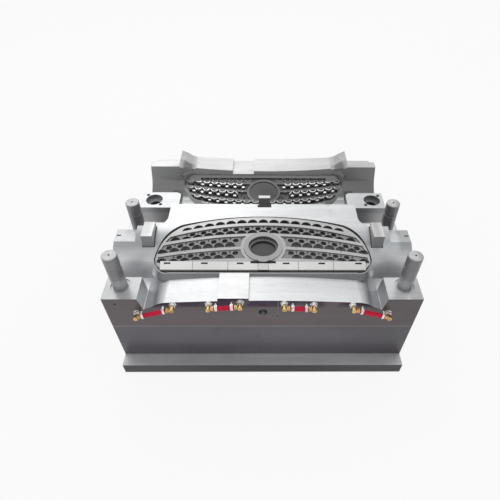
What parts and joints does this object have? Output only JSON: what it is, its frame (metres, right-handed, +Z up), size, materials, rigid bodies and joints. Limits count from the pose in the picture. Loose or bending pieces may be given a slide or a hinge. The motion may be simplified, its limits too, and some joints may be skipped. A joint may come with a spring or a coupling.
{
  "type": "injection mould",
  "caption": "Open injection mould for a vehicle grille: core half with guide pins, lifters and ejector plates, and a turned-over cavity half with guide bushes.",
  "frame": {"origin": "middle of the footprint of both halves, on the floor", "axes": "+Z up, +Y from the core half towards the cavity half, X along the width of the mould"},
  "size_m": [1.3, 1.304, 0.6595],
  "materials": {
    "plate_steel": "milled and ground tool steel",
    "insert_steel": "fine milled and polished tool steel",
    "pin_steel": "hardened and ground steel",
    "screw_steel": "black oxide",
    "hose_rubber": "red smooth hose",
    "brass": "machined brass",
    "clip_steel": "bright zinc plated"
  },
  "bodies": {
    "core_half": {"core_clamp_plate": "plate_steel", "front_rail": "plate_steel", "rear_rail": "plate_steel", "core_plate": "plate_steel", "grille_insert": "insert_steel", "centre_insert": "insert_steel", "skirt_insert": "insert_steel", "interlock_left": "insert_steel", "interlock_right": "insert_steel", "guide_pin_front_left": "pin_steel", "guide_pin_front_right": "pin_steel", "guide_pin_rear_left": "pin_steel", "guide_pin_rear_right": "pin_steel", "core_screws": "screw_steel", "support_pillars": "plate_steel", "ejector_guide_pins": "pin_steel", "stop_buttons": "plate_steel", "hose_1": "hose_rubber", "hose_2": "hose_rubber", "hose_3": "hose_rubber", "hose_4": "hose_rubber", "hose_elbows": "brass", "hose_clips": "clip_steel"},
    "ejector": {"ejector_plate": "plate_steel", "retainer_plate": "plate_steel", "ejector_screws": "screw_steel", "ejector_guide_bushes": "brass", "ejector_pins": "pin_steel", "return_pins": "pin_steel"},
    "lifter_1": {"lifter_1": "insert_steel", "lifter_foot_1": "pin_steel"},
    "lifter_2": {"lifter_2": "insert_steel", "lifter_foot_2": "pin_steel"},
    "lifter_3": {"lifter_3": "insert_steel", "lifter_foot_3": "pin_steel"},
    "lifter_4": {"lifter_4": "insert_steel", "lifter_foot_4": "pin_steel"},
    "lifter_5": {"lifter_5": "insert_steel", "lifter_foot_5": "pin_steel"},
    "lifter_6": {"lifter_6": "insert_steel", "lifter_foot_6": "pin_steel"},
    "cavity_half": {"cavity_plate": "plate_steel", "cavity_insert": "insert_steel", "bush_plate_left": "plate_steel", "bush_plate_right": "plate_steel", "guide_bush_front_left": "pin_steel", "guide_bush_front_right": "pin_steel", "guide_bush_rear_left": "pin_steel", "guide_bush_rear_right": "pin_steel", "bush_screws": "screw_steel", "cavity_clamp_plate": "plate_steel", "cavity_screws": "screw_steel", "locating_ring": "pin_steel", "sprue_bushes": "pin_steel", "side_lock": "insert_steel"}
  },
  "joints": [
    {"name": "ejector_slide", "type": "slide", "parent": "core_half", "child": "ejector", "axis": [0, 0, 1], "range_m": [0, 0.1]},
    {"name": "lifter_1_slide", "type": "slide", "parent": "core_half", "child": "lifter_1", "axis": [0, 0.1392, 0.9903], "range_m": [0, 0.101]},
    {"name": "lifter_2_slide", "type": "slide", "parent": "core_half", "child": "lifter_2", "axis": [0, 0.1392, 0.9903], "range_m": [0, 0.101]},
    {"name": "lifter_3_slide", "type": "slide", "parent": "core_half", "child": "lifter_3", "axis": [0, 0.1392, 0.9903], "range_m": [0, 0.101]},
    {"name": "lifter_4_slide", "type": "slide", "parent": "core_half", "child": "lifter_4", "axis": [0, 0.1392, 0.9903], "range_m": [0, 0.101]},
    {"name": "lifter_5_slide", "type": "slide", "parent": "core_half", "child": "lifter_5", "axis": [0, 0.1392, 0.9903], "range_m": [0, 0.101]},
    {"name": "lifter_6_slide", "type": "slide", "parent": "core_half", "child": "lifter_6", "axis": [0, 0.1392, 0.9903], "range_m": [0, 0.101]},
    {"name": "cavity_lift", "type": "slide", "parent": "core_half", "child": "cavity_half", "axis": [0, 0, 1], "range_m": [0, 0.7]}
  ],
  "couplings": [
    {"joint": "lifter_1_slide", "follows": "ejector_slide", "ratio": 1.0098},
    {"joint": "lifter_2_slide", "follows": "ejector_slide", "ratio": 1.0098},
    {"joint": "lifter_3_slide", "follows": "ejector_slide", "ratio": 1.0098},
    {"joint": "lifter_4_slide", "follows": "ejector_slide", "ratio": 1.0098},
    {"joint": "lifter_5_slide", "follows": "ejector_slide", "ratio": 1.0098},
    {"joint": "lifter_6_slide", "follows": "ejector_slide", "ratio": 1.0098}
  ]
}
